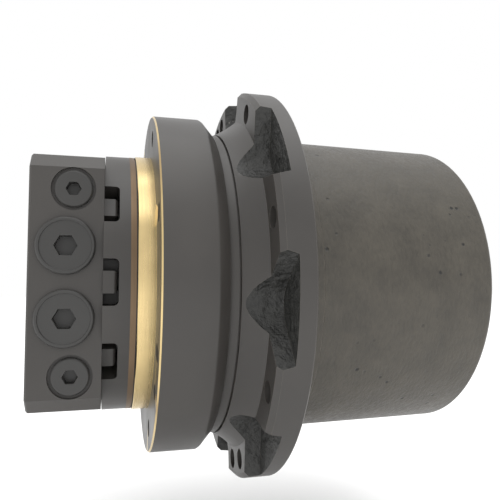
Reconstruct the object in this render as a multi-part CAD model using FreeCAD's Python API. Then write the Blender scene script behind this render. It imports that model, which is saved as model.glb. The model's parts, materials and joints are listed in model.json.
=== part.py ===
import FreeCAD
import Part
import math
import os

# Final drive of a small excavator: a hydraulic motor in a fixed case, and a two-stage planetary
# gear inside a turning gear case that carries the track sprocket.
# The drive axis is +X, from the motor to the closed end of the gear case. +Z is up.
# The origin is the centre of the face that seats on the track frame. Lengths are millimetres.
# Angles round the axis start at -Y and grow towards +Z.

Vec = FreeCAD.Vector
os.makedirs("parts", exist_ok=True)

# ---- clearances ----
seat_gap = 0.03
running_gap = 0.07
face_gap = 0.12
soft_gap = 0.3
tight_gap = 0.05
over = 1.0

# ---- frame mount ----
pilot_r = 96.8
pilot_length = 11.4
pilot_break = 0.4
frame_flange_r = 127.7
frame_flange_length = 34.7
frame_flange_break = 1.0
frame_flange_corner_length = 1.5
frame_flange_corner_depth = 0.8
frame_bolt_circle_r = 112.0
frame_bolt_count = 8
frame_bolt_hole_r = 6.0
frame_bolt_depth = 23.0
frame_bolt_first_angle = 22.5
jack_hole_r = 5.1
jack_hole_angle = -38.0

# ---- motor case ----
case_neck_r = 96.0
case_neck_length = 21.1
groove_width = 1.2
groove_depth = 1.6
seal_lip_r = 119.0
seal_lip_length = 7.3
brake_bore_r = 68.0
plate_bore_r = 66.0
motor_room_r = 60.0
motor_room_end_x = 62.0
bearing_seat_lip = 3.0
spindle_break = 1.0
brake_stop_x = 10.0
notch_count = 3
notch_step_angle = 32.0
notch_width = 29.0
notch_length = 9.6
notch_floor_r = 74.0
notch_corner_r = 3.0

# ---- valve block ----
block_length = 44.4
block_half_width = 88.0
block_half_height = 80.0
block_chamfer = 9.0
block_edge_break = 1.2
block_lug_width = 14.0
block_lug_r = 91.0
block_lug_gap = 0.8
block_lug_corner_r = 2.5
block_screw_r = 4.9
block_screw_circle_r = 78.0
block_screw_angles = (-32.0, 0.0, 32.0, 148.0, 180.0, 212.0)
block_screw_head_r = 7.8
block_screw_head_length = 9.0
block_screw_grip = 32.1
block_screw_thread_length = 24.0
block_screw_socket_af = 8.0

# ---- plugs in the valve block ----
large_plug_r = 17.8
large_plug_height = 3.4
large_plug_rim_width = 2.4
large_plug_dish_depth = 0.8
large_plug_thread_r = 13.2
large_plug_thread_length = 15.0
large_plug_hex_af = 12.0
large_plug_z = 22.3
large_plug_back = 22.3
small_plug_r = 11.6
small_plug_height = 0.6
small_plug_thread_r = 8.3
small_plug_thread_length = 12.0
small_plug_hex_af = 8.0
small_plug_recess_r = 13.4
small_plug_recess_depth = 2.6
small_plug_z = 57.7
small_plug_back = 18.4
hex_depth_share = 0.45
plug_rim_break = 1.0
thread_run_out = 1.5
screw_hole_gap = 0.4
screw_end_gap = 2.0

# ---- counterbalance valve ----
spool_x_back = 16.0
spool_y = -37.0
spool_r = 9.0
spool_length = 96.0
spool_land_groove_r = 6.0
spool_grooves = ((-30.0, -16.0), (-7.0, 7.0), (16.0, 30.0))
spool_cap_r = 14.8
spool_cap_height = 6.0
spool_cap_thread_r = 12.0
spool_cap_thread_length = 18.0
spool_cap_hex_af = 12.0
spool_spring_r = 6.6
spool_spring_wire_r = 0.8
spool_spring_turns = 3

# ---- make-up check valves behind the large plugs ----
poppet_r = 8.0
poppet_length = 12.0
poppet_travel = 3.0
poppet_nose = 4.0
poppet_seat_r = 5.0
check_bore_depth = 38.0
check_spring_r = 5.0
check_spring_wire_r = 0.8
check_spring_turns = 3
check_spring_start_angle = 90.0

# ---- ports on the outer face of the block ----
main_port_r = 9.6
main_port_depth = 16.0
main_port_y = 22.0
main_port_z = 34.0
drain_port_r = 7.4
drain_port_depth = 14.0
drain_port_y = 58.0
spotface_extra = 5.0
spotface_depth = 0.8

# ---- main bearings ----
bearing_bore_r = 80.0
bearing_outer_r = 100.0
bearing_width = 20.0
bearing_first_x = 58.0
bearing_spacer_length = 10.0
bearing_spacer_wall = 5.0
bearing_roller_r = 4.8
bearing_roller_length = 13.6
bearing_roller_count = 32
bearing_tilt = 13.0
bearing_half_cone = 1.4
cage_wall_share = 0.2
cage_inset = 0.8
cage_window_gap = 0.25
hub_shoulder_r = 94.5
spindle_shoulder_r = 88.0
ring_nut_length = 9.0
ring_nut_r = 90.0
ring_nut_thread_r = 78.0
ring_nut_slots = 4
ring_nut_slot_width = 9.0
ring_nut_slot_depth = 5.0
spindle_nose_length = 2.0

# ---- floating face seal ----
seal_face_x = 42.4
seal_ring_in_r = 93.0
seal_ring_out_r = 103.0
seal_ring_cone_r = 97.6
seal_ring_length = 9.4
seal_ring_flange = 2.9
seal_ring_shoulder = 1.0
seal_ring_taper = 0.8
seal_bore_r = 108.0
seal_cavity_length = 14.4
toric_r = 4.8
toric_centre_r = 102.7
toric_offset = 8.2

# ---- sprocket flange and gear case ----
lip_gap = 0.4
lip_r = 115.5
lip_back_r = 117.0
lip_length = 5.2
lip_groove_width = 1.4
lip_groove_depth = 1.8
neck_start_r = 117.5
neck_end_r = 128.0
neck_sag = 0.9
flange_x = 64.5
flange_r = 150.0
flange_thickness = 21.8
flange_chamfer = 3.2
flange_back_break = 0.8
sprocket_pilot_r = 117.0
sprocket_pilot_length = 18.0
sprocket_pilot_break = 0.8
case_start_r = 115.6
case_end_r = 113.9
case_end_x = 232.0
case_end_round = 4.0
pocket_angles = (38.9, 83.9, 128.9, 173.9, 221.0, 266.5, 308.9, 353.9)
narrow_pockets = (83.9, 266.5)
pocket_floor_x = 75.0
pocket_bottom_r = 118.5
pocket_corner_r = 21.8
pocket_flare_angle = 43.5
narrow_pocket_flare_angle = 12.0
pocket_draft = 2.6
pocket_overrun = 14.0
sprocket_bolt_circle_r = flange_r - 13.0
sprocket_hole_r = 7.0
sprocket_hole_angles = (16.4, 61.4, 99.5, 107.0, 151.4, 196.4, 250.0, 281.4, 291.4, 331.4)

# ---- gears ----
module = 3.0
pressure_angle = math.radians(20.0)
addendum = 0.8 * module
dedendum = 1.05 * module
flank_gap = 0.12
ring_teeth = 66
sun_1_teeth = 12
planet_1_teeth = 27
sun_2_teeth = 18
planet_2_teeth = 24
planet_count = 3
ring_gear_outer_r = 105.0
ring_gear_end_gap = 2.0
planet_2_width = 28.0
planet_1_width = 22.0
washer_thickness = 2.0
washer_overhang = 6.0
planet_2_pin_r = 12.0
planet_2_pin_seat = 30.0
planet_1_pin_r = 11.0
planet_pin_head_r = 16.0
planet_pin_head_length = 3.0
needle_r = 2.0
needle_count = 18
needle_gap = 0.05
carrier_plate_thickness = 10.0
carrier_rim = 15.0
carrier_window_r = 11.0
carrier_bore_r = 20.0
carrier_gap = 4.0
sun_1_core_r = 9.5

# ---- motor and shaft ----
shaft_r = 11.0
shaft_spline_r = 14.0
shaft_bearing_r = 15.0
shaft_collar = 3.0
shaft_step = 2.0
shaft_break = 0.5
shaft_tail_length = 9.0
shaft_bore_gap = 2.0
shaft_end_inset = 8.0
barrel_r = 50.0
barrel_length = 49.0
valve_plate_r = 48.0
valve_plate_thickness = 5.0
kidney_r = 35.0
kidney_half_width = 4.0
kidney_sweep = 130.0
piston_count = 9
piston_circle_r = 35.0
piston_r = 7.9
piston_bore_depth = 42.0
piston_length = 46.0
piston_ball_r = 6.5
piston_ball_inset = 0.5
piston_neck_length = 11.0
piston_neck_r = 4.0
slipper_r = 9.6
slipper_height = 7.0
slipper_neck_r = 8.2
slipper_foot_thickness = 2.6
retainer_thickness = 2.4
retainer_r = 47.0
retainer_hole_gap = 0.1
swash_thickness = 16.0
swash_r = 52.0
swash_bore_r = 21.0
rear_bearing_outer_r = 31.0
rear_bearing_width = 17.0
rear_bearing_gap = 8.0
rear_bearing_rollers = 16
rear_bearing_roller_r = 3.6
rear_bearing_roller_length = 11.0
front_bearing_outer_r = 24.0
front_bearing_width = 15.0
front_bearing_rollers = 14
front_bearing_roller_r = 3.0
front_bearing_roller_length = 10.0
shaft_bearing_tilt = 12.0
oil_seal_outer_r = 24.0
oil_seal_width = 8.0
oil_seal_inset = 2.0
oil_seal_wall = 5.0
oil_seal_web = 2.0
oil_seal_lip = 1.2

# ---- parking brake ----
friction_count = 2
disc_thickness = 3.0
friction_outer_r = 63.0
friction_tooth_gap = 0.05
plate_inner_r = 53.0
brake_piston_length = 17.0
brake_piston_nose = 6.0
brake_piston_back_break = 4.0
brake_piston_inner_r = 53.0
brake_ring_r = 1.5
brake_ring_gap = 0.15
brake_groove_width = 3.4
brake_groove_inset = 0.8
brake_bore_margin = 0.5
brake_spring_rise = 5.0
brake_spring_thickness = 2.2
brake_spring_outer_inset = 2.0
brake_spring_inner_inset = 1.0

# ---- end cover ----
cover_r = 106.0
cover_thickness = 15.0
cover_end_inset = 7.5
cover_lead_in = 6.0
cover_lead_in_length = 1.0
cover_rim_width = 12.0
cover_dish_depth = 4.0
circlip_width = 3.0
circlip_depth = 2.6
circlip_reach = 5.0
circlip_opening = 24.0
cover_ring_r = 1.8
circlip_gap = 0.1
cover_plug_r = 12.5
cover_plug_height = 4.0
cover_plug_thread_r = 8.0
cover_plug_thread_length = 11.0
cover_plug_hex_af = 8.0
cover_plug_circle_r = cover_r - 34.0
cover_plug_angles = (90.0, 210.0, 330.0)
thrust_button_r = 14.0
thrust_button_break = 2.0

# ---- places worked out from the sizes above ----
groove_x = -pilot_length
block_face_x = groove_x - case_neck_length
block_back_x = block_face_x - block_length
seal_lip_x = frame_flange_length + seal_lip_length
hub_lip_x = seal_lip_x + 2 * lip_gap
neck_x = hub_lip_x + lip_length + lip_groove_width
flange_back_x = flange_x + flange_thickness
sprocket_pilot_x = flange_back_x + sprocket_pilot_length
bearing_a_x = bearing_first_x
bearing_b_x = bearing_a_x + bearing_width + bearing_spacer_length
ring_nut_x = bearing_b_x + bearing_width
spindle_end_x = ring_nut_x + ring_nut_length + spindle_nose_length
planet_2_x = spindle_end_x + washer_thickness + 2 * face_gap
planet_2_end_x = planet_2_x + planet_2_width
carrier_x = planet_2_end_x + washer_thickness + planet_pin_head_length + carrier_gap
planet_1_x = carrier_x + carrier_plate_thickness + washer_thickness + 2 * face_gap
planet_1_end_x = planet_1_x + planet_1_width
ring_gear_x = spindle_end_x
ring_gear_end_x = planet_1_end_x + ring_gear_end_gap
cover_end_x = case_end_x - cover_end_inset
cover_x = cover_end_x - cover_thickness
shaft_end_x = cover_x - shaft_end_inset
centre_distance_1 = module * (sun_1_teeth + planet_1_teeth) / 2
centre_distance_2 = module * (sun_2_teeth + planet_2_teeth) / 2
barrel_x = block_face_x + valve_plate_thickness + 2 * face_gap
barrel_end_x = barrel_x + barrel_length
swash_end_x = motor_room_end_x
swash_x = swash_end_x - swash_thickness
slipper_x = swash_x - slipper_height - face_gap
rear_bearing_x = motor_room_end_x + rear_bearing_gap
oil_seal_x = rear_bearing_x + rear_bearing_width + oil_seal_inset
spool_x = block_face_x - spool_x_back
planet_angles = [360.0 * k / planet_count for k in range(planet_count)]
small_plug_depth = small_plug_recess_depth + small_plug_thread_length + thread_run_out + over
steel_end_x = brake_stop_x - seat_gap - disc_thickness
steel_step = 2 * (disc_thickness + face_gap)
steel_x = [steel_end_x - (friction_count - k) * steel_step for k in range(friction_count + 1)]
brake_piston_x = steel_x[0] - face_gap
brake_end_x = brake_piston_x - brake_piston_nose + brake_bore_margin
front_shaft_x = block_face_x - front_bearing_width - shaft_tail_length
hub_floor_x = 2 * seal_face_x - (seal_lip_x - seal_cavity_length)
spring_room = block_half_height - spool_cap_thread_length - spool_length / 2
circlip_x = cover_end_x + tight_gap
cover_ring_x = cover_x + cover_thickness / 2
cover_ring_floor_r = cover_r - 2 * cover_ring_r - circlip_gap
planet_bore_gap = 2 * needle_r + 2 * needle_gap
piston_angles = [360.0 * k / piston_count for k in range(piston_count)]


def at_angle(x, radius, angle):
    a = math.radians(angle)
    return Vec(x, -radius * math.cos(a), radius * math.sin(a))


def turned(points):
    """Solid of revolution about the drive axis from a closed outline of (x, radius) points."""
    corners = [Vec(x, 0, r) for x, r in points]
    outline = Part.makePolygon(corners + corners[:1])
    return Part.Face(outline).revolve(Vec(0, 0, 0), Vec(1, 0, 0), 360)


def ring(x0, x1, outer_r, inner_r=0.0):
    body = Part.makeCylinder(outer_r, x1 - x0, Vec(x0, 0, 0), Vec(1, 0, 0))
    if inner_r > 0:
        body = body.cut(Part.makeCylinder(inner_r, x1 - x0 + 2, Vec(x0 - 1, 0, 0), Vec(1, 0, 0)))
    return body


def rod(radius, start, end):
    run = end - start
    return Part.makeCylinder(radius, run.Length, start, run)


def about_axis(shape, angle):
    """A copy of the shape turned about the drive axis, from -Y towards +Z."""
    copy = shape.copy()
    copy.rotate(Vec(0, 0, 0), Vec(1, 0, 0), -angle)
    return copy


def around(shape, angles):
    return [about_axis(shape, angle) for angle in angles]


def placed(shape, point, direction):
    """A copy of a shape drawn along +Z from the origin, moved to a point and turned to a direction."""
    copy = shape.copy()
    move = FreeCAD.Placement(point, FreeCAD.Rotation(Vec(0, 0, 1), direction))
    copy.Placement = move.multiply(shape.Placement)
    return copy


def hex_prism(across_flats, z0, z1):
    corner_r = across_flats / 2 / math.cos(math.pi / 6)
    corners = []
    for k in range(6):
        a = math.radians(60 * k)
        corners.append(Vec(corner_r * math.cos(a), corner_r * math.sin(a), z0))
    face = Part.Face(Part.makePolygon(corners + corners[:1]))
    return face.extrude(Vec(0, 0, z1 - z0))


def toric(x, centre_r, section_r):
    return Part.makeTorus(centre_r, section_r, Vec(x, 0, 0), Vec(1, 0, 0))


def coil(mean_r, wire_r, length, turns):
    """Compression spring along +Z from the origin."""
    run = length - 2 * wire_r
    path = Part.makeHelix(run / turns, run, mean_r)
    section = Part.Wire(Part.makeCircle(wire_r, Vec(mean_r, 0, 0), Vec(0, 1, 0)))
    spring = Part.Wire(path).makePipeShell([section], True, True)
    spring.translate(Vec(0, 0, wire_r))
    return spring


def involute(angle):
    return math.tan(angle) - angle


def tooth_edges(teeth, phase, tip_r, root_r, half_width_angle, sign):
    """Edges of a closed toothed outline in the YZ plane. sign is +1 outside, -1 for an internal gear."""
    pitch_r = module * teeth / 2
    base_r = pitch_r * math.cos(pressure_angle)

    def flank_angle(r):
        local = math.acos(min(1.0, base_r / r))
        return half_width_angle + sign * (involute(pressure_angle) - involute(local))

    def spot(r, a):
        return Vec(0, r * math.cos(a), r * math.sin(a))

    low_r, high_r = min(tip_r, root_r), max(tip_r, root_r)
    start_r = max(low_r, base_r)
    middle_r = (start_r + high_r) / 2
    edges = []
    step = 2 * math.pi / teeth
    for k in range(teeth):
        mid = phase + k * step
        flank = [spot(r, mid - flank_angle(r)) for r in (start_r, middle_r, high_r)]
        other = [spot(r, mid + flank_angle(r)) for r in (high_r, middle_r, start_r)]
        if sign > 0:
            if start_r > low_r:
                edges.append(Part.makeLine(spot(low_r, mid - flank_angle(start_r)), flank[0]))
            edges.append(Part.Arc(*flank).toShape())
            edges.append(Part.Arc(flank[2], spot(high_r, mid), other[0]).toShape())
            edges.append(Part.Arc(*other).toShape())
            if start_r > low_r:
                edges.append(Part.makeLine(other[2], spot(low_r, mid + flank_angle(start_r))))
            root_from = spot(low_r, mid + flank_angle(start_r))
            root_to = spot(low_r, mid + step - flank_angle(start_r))
            edges.append(Part.Arc(root_from, spot(low_r, mid + step / 2), root_to).toShape())
        else:
            edges.append(Part.Arc(*flank[::-1]).toShape())
            edges.append(Part.Arc(flank[0], spot(low_r, mid), other[2]).toShape())
            edges.append(Part.Arc(*other[::-1]).toShape())
            root_to = spot(high_r, mid + step - flank_angle(high_r))
            edges.append(Part.Arc(other[0], spot(high_r, mid + step / 2), root_to).toShape())
    return edges


def toothed_prism(teeth, phase, x0, x1, internal=False):
    pitch_r = module * teeth / 2
    half = math.pi / 2 / teeth - flank_gap / pitch_r
    sign = -1 if internal else 1
    edges = tooth_edges(teeth, phase, pitch_r + sign * addendum, pitch_r - sign * dedendum, half, sign)
    prism = Part.Face(Part.Wire(edges)).extrude(Vec(x1 - x0, 0, 0))
    prism.translate(Vec(x0, 0, 0))
    return prism


def polar(angle):
    """Polar angle in the YZ plane, from +Y towards +Z, of an angle counted from -Y towards +Z."""
    return math.pi - math.radians(angle)


def planet_phase(angle, teeth):
    """Phase that puts a planet's teeth in the ring gear's gaps, with a ring tooth at polar angle 0."""
    ring_share = ring_teeth * polar(angle) / (2 * math.pi)
    return polar(angle) - 2 * math.pi / teeth * (ring_share - 0.5)


def sun_phase(angle, planet, sun):
    share = planet * (polar(angle) + math.pi - planet_phase(angle, planet)) / (2 * math.pi)
    return polar(angle) - 2 * math.pi / sun * (0.5 - share)


def export(name, shape):
    shape.exportStep("parts/" + name + ".step")


def group(solids):
    return Part.makeCompound(solids)


# ---- bearings ----

def taper_bearing(x0, width, bore_r, outer_r, roller_r, roller_length, count, tilt, flip):
    """Inner race, outer race and a set of tapered rollers in their cage, about the drive axis."""
    middle_x = x0 + width / 2
    pitch_r = (bore_r + outer_r) / 2
    slope = math.radians(tilt) * (-1 if flip else 1)
    cone = math.radians(bearing_half_cone)
    half = roller_length / 2
    grow = half * math.tan(cone)
    roller = Part.makeCone(roller_r - grow, roller_r + grow, roller_length, Vec(0, 0, -half))
    gap = cage_window_gap
    window = Part.makeCone(roller_r - grow + gap, roller_r + grow + gap, roller_length + 2 * gap,
                           Vec(0, 0, -half - gap))
    side = -1 if flip else 1
    axis = Vec(side * math.cos(slope), -side * math.sin(slope), 0)
    centre = Vec(middle_x, -pitch_r, 0)
    angles = [360.0 * k / count for k in range(count)]
    rollers = around(placed(roller, centre, axis), angles)
    windows = around(placed(window, centre, axis), angles)
    reach = (roller_r + seat_gap) / math.cos(cone)

    def line_r(x, turn, offset):
        return pitch_r + offset + (x - middle_x) * math.tan(turn)

    low = slope - side * cone
    high = slope + side * cone
    x1 = x0 + width
    inner = turned([(x0, bore_r), (x1, bore_r), (x1, line_r(x1, low, -reach / math.cos(slope))),
                    (x0, line_r(x0, low, -reach / math.cos(slope)))])
    outer = turned([(x0, outer_r), (x1, outer_r), (x1, line_r(x1, high, reach / math.cos(slope))),
                    (x0, line_r(x0, high, reach / math.cos(slope)))])
    wall = roller_r * cage_wall_share
    reach_x = width / 2 - cage_inset
    cage = turned([(middle_x - reach_x, line_r(middle_x - reach_x, slope, -wall)),
                   (middle_x + reach_x, line_r(middle_x + reach_x, slope, -wall)),
                   (middle_x + reach_x, line_r(middle_x + reach_x, slope, wall)),
                   (middle_x - reach_x, line_r(middle_x - reach_x, slope, wall))])
    return inner, outer, group(rollers + cage.cut(windows).Solids)


def main_bearing(x0, flip):
    return taper_bearing(x0, bearing_width, bearing_bore_r + seat_gap, bearing_outer_r - seat_gap,
                         bearing_roller_r, bearing_roller_length, bearing_roller_count, bearing_tilt,
                         flip)


def rear_shaft_bearing():
    return taper_bearing(rear_bearing_x, rear_bearing_width, shaft_bearing_r + seat_gap,
                         rear_bearing_outer_r - seat_gap, rear_bearing_roller_r,
                         rear_bearing_roller_length, rear_bearing_rollers, shaft_bearing_tilt, True)


def front_shaft_bearing():
    return taper_bearing(block_face_x - front_bearing_width, front_bearing_width, shaft_r + seat_gap,
                         front_bearing_outer_r - seat_gap, front_bearing_roller_r,
                         front_bearing_roller_length, front_bearing_rollers, shaft_bearing_tilt, False)


# ---- fixed side ----

def notch():
    """One slot in the neck of the motor case, open to the valve block and to the outside."""
    depth = case_neck_r + 1 - notch_floor_r
    x1 = block_face_x + notch_length
    body = Part.makeBox(notch_length + 1, depth, notch_width,
                        Vec(block_face_x - 1, -case_neck_r - 1, -notch_width / 2))
    inner = [e for e in body.Edges if abs(e.CenterOfMass.x - x1) < 1e-6 and abs(e.CenterOfMass.z) > 1
             and abs(e.CenterOfMass.y + case_neck_r + 1 - depth / 2) < 1e-6]
    return body.makeFillet(notch_corner_r, inner)


def motor_case():
    nose_r = ring_nut_thread_r
    body = turned([
        (block_face_x, brake_bore_r), (block_face_x, case_neck_r),
        (groove_x - groove_width, case_neck_r), (groove_x - groove_width, case_neck_r - groove_depth),
        (groove_x, case_neck_r - groove_depth), (groove_x, pilot_r - pilot_break),
        (groove_x + pilot_break, pilot_r), (0, pilot_r), (0, frame_flange_r - frame_flange_break),
        (frame_flange_break, frame_flange_r),
        (frame_flange_length - frame_flange_corner_length, frame_flange_r),
        (frame_flange_length, frame_flange_r - frame_flange_corner_depth),
        (seal_lip_x, seal_lip_r), (seal_lip_x, seal_bore_r),
        (seal_lip_x - seal_cavity_length, seal_bore_r),
        (seal_lip_x - seal_cavity_length, spindle_shoulder_r),
        (bearing_a_x, spindle_shoulder_r), (bearing_a_x, bearing_bore_r), (ring_nut_x, bearing_bore_r),
        (ring_nut_x, nose_r), (spindle_end_x - spindle_break, nose_r),
        (spindle_end_x, nose_r - spindle_break),
        (spindle_end_x, shaft_bearing_r + shaft_bore_gap),
        (oil_seal_x + oil_seal_width, shaft_bearing_r + shaft_bore_gap),
        (oil_seal_x + oil_seal_width, oil_seal_outer_r),
        (rear_bearing_x + rear_bearing_width, oil_seal_outer_r),
        (rear_bearing_x + rear_bearing_width, rear_bearing_outer_r),
        (rear_bearing_x, rear_bearing_outer_r),
        (rear_bearing_x, rear_bearing_outer_r - bearing_seat_lip),
        (motor_room_end_x, rear_bearing_outer_r - bearing_seat_lip), (motor_room_end_x, motor_room_r),
        (brake_stop_x, motor_room_r), (brake_stop_x, plate_bore_r),
        (brake_end_x, plate_bore_r), (brake_end_x, brake_bore_r)])
    cuts = []
    for side in (0, 180):
        for k in range(notch_count):
            cuts.append(about_axis(notch(), side + (k - (notch_count - 1) / 2) * notch_step_angle))
    step = 360.0 / frame_bolt_count
    for k in range(frame_bolt_count):
        start = at_angle(-1, frame_bolt_circle_r, frame_bolt_first_angle + k * step)
        cuts.append(rod(frame_bolt_hole_r, start, start + Vec(1 + frame_bolt_depth, 0, 0)))
    for angle in (jack_hole_angle, jack_hole_angle + 180):
        start = at_angle(-1, frame_bolt_circle_r, angle)
        cuts.append(rod(jack_hole_r, start, start + Vec(1 + frame_bolt_depth, 0, 0)))
    for angle in block_screw_angles:
        start = at_angle(block_face_x - 1, block_screw_circle_r, angle)
        reach = Vec(1 + notch_length + block_screw_thread_length, 0, 0)
        cuts.append(rod(block_screw_r + seat_gap, start, start + reach))
    for angle in planet_angles:
        start = at_angle(spindle_end_x - planet_2_pin_seat, centre_distance_2, angle)
        cuts.append(rod(planet_2_pin_r + seat_gap, start, start + Vec(planet_2_pin_seat + 1, 0, 0)))
    return body.cut(cuts)


def block_outline(x0, x1):
    y, z, c = block_half_width, block_half_height, block_chamfer
    corners = [(-y, -z + c), (-y, z - c), (-y + c, z), (y - c, z), (y, z - c), (y, -z + c),
               (y - c, -z), (-y + c, -z)]
    points = [Vec(x0, py, pz) for py, pz in corners]
    return Part.Face(Part.makePolygon(points + points[:1])).extrude(Vec(x1 - x0, 0, 0))


def block_lug(angle):
    """Lug of the valve block that lies in one notch of the motor case, round a fixing screw."""
    low_r = notch_floor_r + soft_gap
    length = notch_length - block_lug_gap
    lug = Part.makeBox(length, block_lug_r - low_r, block_lug_width,
                       Vec(block_face_x, -block_lug_r, -block_lug_width / 2))
    end = block_face_x + length
    rounded = [e for e in lug.Edges if abs(e.CenterOfMass.x - end) < 1e-6
               and (abs(e.CenterOfMass.z) > 1 or e.CenterOfMass.y < -block_lug_r + 1e-6)]
    return about_axis(lug.makeFillet(block_lug_corner_r, rounded), angle)


def valve_block():
    body = block_outline(block_back_x, block_face_x)
    outer_edges = [e for e in body.Edges if abs(e.CenterOfMass.x - block_back_x) < 1e-6]
    body = body.makeChamfer(block_edge_break, outer_edges)
    body = body.fuse([block_lug(angle) for angle in block_screw_angles])
    cuts = []
    for angle in block_screw_angles:
        start = at_angle(block_back_x - 1, block_screw_circle_r, angle)
        through = Vec(block_length + notch_length + 2, 0, 0)
        cuts.append(rod(block_screw_r + screw_hole_gap, start, start + through))
        head_seat = block_length - block_screw_grip + 1
        cuts.append(rod(block_screw_head_r + screw_hole_gap, start, start + Vec(head_seat, 0, 0)))
    front = -block_half_width
    for side in (-1, 1):
        mouth = Vec(block_face_x - large_plug_back, front - 1, side * large_plug_z)
        cuts.append(rod(large_plug_thread_r + seat_gap, mouth,
                        mouth + Vec(0, large_plug_thread_length + thread_run_out, 0)))
        cuts.append(rod(poppet_r + running_gap, mouth, mouth + Vec(0, check_bore_depth + 1, 0)))
        mouth = Vec(block_face_x - small_plug_back, front - 1, side * small_plug_z)
        cuts.append(rod(small_plug_recess_r, mouth, mouth + Vec(0, small_plug_recess_depth + 1, 0)))
        cuts.append(rod(small_plug_thread_r + seat_gap, mouth,
                        mouth + Vec(0, small_plug_depth, 0)))
        mouth = Vec(spool_x, spool_y, side * (block_half_height + 1))
        inward = Vec(0, 0, -side * (spool_cap_thread_length + thread_run_out))
        cuts.append(rod(spool_cap_thread_r + seat_gap, mouth, mouth + inward))
        mouth = Vec(block_back_x - 1, main_port_y, side * main_port_z)
        cuts.append(rod(main_port_r, mouth, mouth + Vec(main_port_depth + 1, 0, 0)))
        cuts.append(rod(main_port_r + spotface_extra, mouth, mouth + Vec(spotface_depth + 1, 0, 0)))
    mouth = Vec(block_back_x - 1, drain_port_y, 0)
    cuts.append(rod(drain_port_r, mouth, mouth + Vec(drain_port_depth + 1, 0, 0)))
    cuts.append(rod(drain_port_r + spotface_extra, mouth, mouth + Vec(spotface_depth + 1, 0, 0)))
    low = Vec(spool_x, spool_y, -block_half_height)
    cuts.append(rod(spool_r + running_gap, low, low + Vec(0, 0, 2 * block_half_height)))
    bearing_floor = block_face_x - front_bearing_width - shaft_bore_gap
    cuts.append(ring(bearing_floor, block_face_x + 1, front_bearing_outer_r))
    cuts.append(ring(front_shaft_x - shaft_bore_gap, block_face_x, shaft_r + shaft_bore_gap))
    return body.cut(cuts)


def block_screw(angle):
    head_x = block_face_x - block_screw_grip
    start = at_angle(head_x, block_screw_circle_r, angle)
    tip = Vec(block_screw_grip + notch_length + block_screw_thread_length - screw_end_gap, 0, 0)
    shank = rod(block_screw_r, start, start + tip)
    head = rod(block_screw_head_r, start - Vec(block_screw_head_length, 0, 0), start)
    socket = hex_prism(block_screw_socket_af, -block_screw_head_length / 2, 1)
    socket = placed(socket, start - Vec(block_screw_head_length, 0, 0), Vec(-1, 0, 0))
    return shank.fuse(head).removeSplitter().cut(socket)


def hex_plug(head_r, height, thread_r, thread_length, hex_af):
    """Screw-in plug along +Z: head above the origin, thread below, hexagon socket in the head."""
    head = Part.makeCylinder(head_r, height)
    rim = [e for e in head.Edges if abs(e.CenterOfMass.z - height) < 1e-6 and e.Length > head_r]
    head = head.makeChamfer(plug_rim_break, rim)
    thread = Part.makeCylinder(thread_r, thread_length, Vec(0, 0, -thread_length))
    body = head.fuse(thread).removeSplitter()
    socket_floor = height - (height + thread_length) * hex_depth_share
    return body.cut(hex_prism(hex_af, socket_floor, height + 1))


def large_plug(side):
    plug = hex_plug(large_plug_r, large_plug_height, large_plug_thread_r, large_plug_thread_length,
                    large_plug_hex_af)
    dish = Part.makeCylinder(large_plug_r - large_plug_rim_width, large_plug_height,
                             Vec(0, 0, large_plug_height - large_plug_dish_depth))
    plug = plug.cut(dish)
    return placed(plug, Vec(block_face_x - large_plug_back, -block_half_width, side * large_plug_z),
                  Vec(0, -1, 0))


def small_plug(side):
    plug = hex_plug(small_plug_r, small_plug_recess_depth + small_plug_height, small_plug_thread_r,
                    small_plug_thread_length, small_plug_hex_af)
    seat = Vec(block_face_x - small_plug_back, -block_half_width + small_plug_recess_depth,
               side * small_plug_z)
    return placed(plug, seat, Vec(0, -1, 0))


def spool_cap(side):
    cap = hex_plug(spool_cap_r, spool_cap_height, spool_cap_thread_r, spool_cap_thread_length,
                   spool_cap_hex_af)
    return placed(cap, Vec(spool_x, spool_y, side * block_half_height), Vec(0, 0, side))


def counterbalance_spool():
    half = spool_length / 2
    start = Vec(spool_x, spool_y, -half)
    body = rod(spool_r, start, start + Vec(0, 0, spool_length))
    for z0, z1 in spool_grooves:
        ring_cut = Part.makeCylinder(spool_r + 1, z1 - z0, Vec(spool_x, spool_y, z0))
        core = Part.makeCylinder(spool_land_groove_r, z1 - z0, Vec(spool_x, spool_y, z0))
        body = body.cut(ring_cut.cut(core))
    return body


def spool_spring(side):
    spring = coil(spool_spring_r, spool_spring_wire_r, spring_room, spool_spring_turns)
    return placed(spring, Vec(spool_x, spool_y, side * spool_length / 2), Vec(0, 0, side))


def check_poppet(side):
    """Poppet that closes the inner end of its bore, hollow behind for the spring."""
    seat_y = -block_half_width + check_bore_depth - soft_gap
    nose = Part.makeCone(poppet_r, poppet_seat_r, poppet_nose, Vec(0, 0, poppet_length - poppet_nose))
    body = Part.makeCylinder(poppet_r, poppet_length - poppet_nose).fuse(nose)
    hollow = Part.makeCylinder(check_spring_r + check_spring_wire_r + soft_gap, poppet_length / 2)
    body = body.cut(hollow)
    return placed(body, Vec(block_face_x - large_plug_back, seat_y - poppet_length, side * large_plug_z),
                  Vec(0, 1, 0))


def check_spring(side):
    plug_end = -block_half_width + large_plug_thread_length
    floor = -block_half_width + check_bore_depth - soft_gap - poppet_length / 2
    length = floor - plug_end - poppet_travel - 2 * soft_gap
    spring = coil(check_spring_r, check_spring_wire_r, length, check_spring_turns)
    spring.rotate(Vec(0, 0, 0), Vec(0, 0, 1), check_spring_start_angle)
    return placed(spring, Vec(block_face_x - large_plug_back, floor - tight_gap, side * large_plug_z),
                  Vec(0, -1, 0))


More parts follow.
